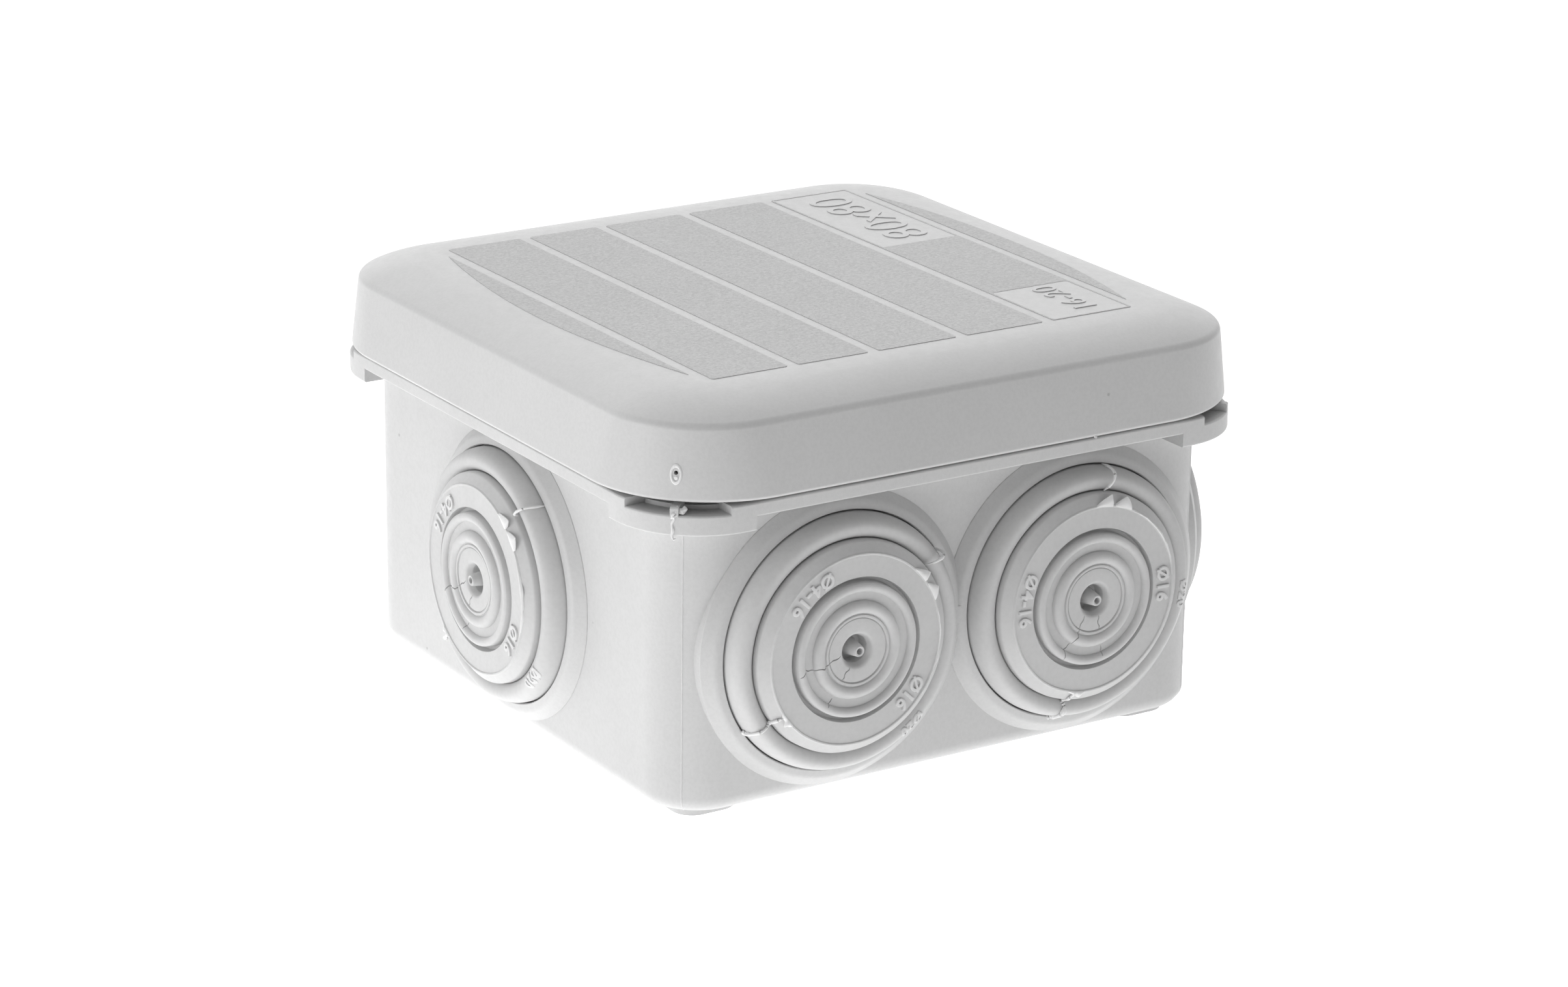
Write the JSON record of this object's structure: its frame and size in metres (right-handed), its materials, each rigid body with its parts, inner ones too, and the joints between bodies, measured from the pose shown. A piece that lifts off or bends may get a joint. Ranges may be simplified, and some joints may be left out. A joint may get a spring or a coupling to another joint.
{
  "type": "electrical junction box",
  "caption": "Square surface junction box with a clip-on lid, stepped soft cable grommets in its side walls and a screw terminal block inside.",
  "frame": {"origin": "centre of the back, in the plane of the four pads that meet the wall", "axes": "+Z out of the wall towards the lid; -Y through the front pair of entries; -X through the single entry"},
  "size_m": [0.0812, 0.0812, 0.0477],
  "materials": {
    "box_grey": "fine satin moulded thermoplastic",
    "lid_grey": "satin moulded thermoplastic with sparkle-textured bands",
    "grommet_grey": "smooth matt thermoplastic elastomer",
    "seal_foam": "matt closed-cell foam",
    "terminal_white": "natural polyamide",
    "brass": "plain drawn brass",
    "zinc_steel": "zinc-plated steel"
  },
  "bodies": {
    "box": {"base_box": "box_grey", "grommet_front_left": "grommet_grey", "grommet_front_right": "grommet_grey", "grommet_right_front": "grommet_grey", "grommet_right_rear": "grommet_grey", "grommet_rear_right": "grommet_grey", "grommet_rear_left": "grommet_grey", "grommet_left": "grommet_grey", "terminal_plate": "terminal_white", "terminal_housing": "terminal_white", "terminal_fixing_screws": "zinc_steel", "current_bar_1": "brass", "current_bar_2": "brass", "current_bar_3": "brass"},
    "lid": {"lid": "lid_grey", "lid_seal": "seal_foam"},
    "screw_1_front": {"clamp_screw_1_front": "zinc_steel"},
    "cage_1_front": {"clamp_cage_1_front": "brass"},
    "screw_1_rear": {"clamp_screw_1_rear": "zinc_steel"},
    "cage_1_rear": {"clamp_cage_1_rear": "brass"},
    "screw_2_front": {"clamp_screw_2_front": "zinc_steel"},
    "cage_2_front": {"clamp_cage_2_front": "brass"},
    "screw_2_rear": {"clamp_screw_2_rear": "zinc_steel"},
    "cage_2_rear": {"clamp_cage_2_rear": "brass"},
    "screw_3_front": {"clamp_screw_3_front": "zinc_steel"},
    "cage_3_front": {"clamp_cage_3_front": "brass"},
    "screw_3_rear": {"clamp_screw_3_rear": "zinc_steel"},
    "cage_3_rear": {"clamp_cage_3_rear": "brass"}
  },
  "joints": [
    {"name": "lid_lift", "type": "slide", "parent": "box", "child": "lid", "axis": [0, 0, 1], "range_m": [0, 0.06]},
    {"name": "screw_turn_1_front", "type": "hinge", "parent": "box", "child": "screw_1_front", "pos_m": [-0.009, -0.007, 0.017], "axis": [0, 0, -1], "range_deg": [0, 2310]},
    {"name": "cage_rise_1_front", "type": "slide", "parent": "box", "child": "cage_1_front", "axis": [0, 0, 1], "range_m": [0, 0.0032]},
    {"name": "screw_turn_1_rear", "type": "hinge", "parent": "box", "child": "screw_1_rear", "pos_m": [-0.009, 0.007, 0.017], "axis": [0, 0, -1], "range_deg": [0, 2310]},
    {"name": "cage_rise_1_rear", "type": "slide", "parent": "box", "child": "cage_1_rear", "axis": [0, 0, 1], "range_m": [0, 0.0032]},
    {"name": "screw_turn_2_front", "type": "hinge", "parent": "box", "child": "screw_2_front", "pos_m": [0, -0.007, 0.017], "axis": [0, 0, -1], "range_deg": [0, 2310]},
    {"name": "cage_rise_2_front", "type": "slide", "parent": "box", "child": "cage_2_front", "axis": [0, 0, 1], "range_m": [0, 0.0032]},
    {"name": "screw_turn_2_rear", "type": "hinge", "parent": "box", "child": "screw_2_rear", "pos_m": [0, 0.007, 0.017], "axis": [0, 0, -1], "range_deg": [0, 2310]},
    {"name": "cage_rise_2_rear", "type": "slide", "parent": "box", "child": "cage_2_rear", "axis": [0, 0, 1], "range_m": [0, 0.0032]},
    {"name": "screw_turn_3_front", "type": "hinge", "parent": "box", "child": "screw_3_front", "pos_m": [0.009, -0.007, 0.017], "axis": [0, 0, -1], "range_deg": [0, 2310]},
    {"name": "cage_rise_3_front", "type": "slide", "parent": "box", "child": "cage_3_front", "axis": [0, 0, 1], "range_m": [0, 0.0032]},
    {"name": "screw_turn_3_rear", "type": "hinge", "parent": "box", "child": "screw_3_rear", "pos_m": [0.009, 0.007, 0.017], "axis": [0, 0, -1], "range_deg": [0, 2310]},
    {"name": "cage_rise_3_rear", "type": "slide", "parent": "box", "child": "cage_3_rear", "axis": [0, 0, 1], "range_m": [0, 0.0032]}
  ],
  "couplings": [
    {"joint": "screw_turn_1_front", "follows": "cage_rise_1_front", "rad_per_m": 12566},
    {"joint": "screw_turn_1_rear", "follows": "cage_rise_1_rear", "rad_per_m": 12566},
    {"joint": "screw_turn_2_front", "follows": "cage_rise_2_front", "rad_per_m": 12566},
    {"joint": "screw_turn_2_rear", "follows": "cage_rise_2_rear", "rad_per_m": 12566},
    {"joint": "screw_turn_3_front", "follows": "cage_rise_3_front", "rad_per_m": 12566},
    {"joint": "screw_turn_3_rear", "follows": "cage_rise_3_rear", "rad_per_m": 12566}
  ]
}
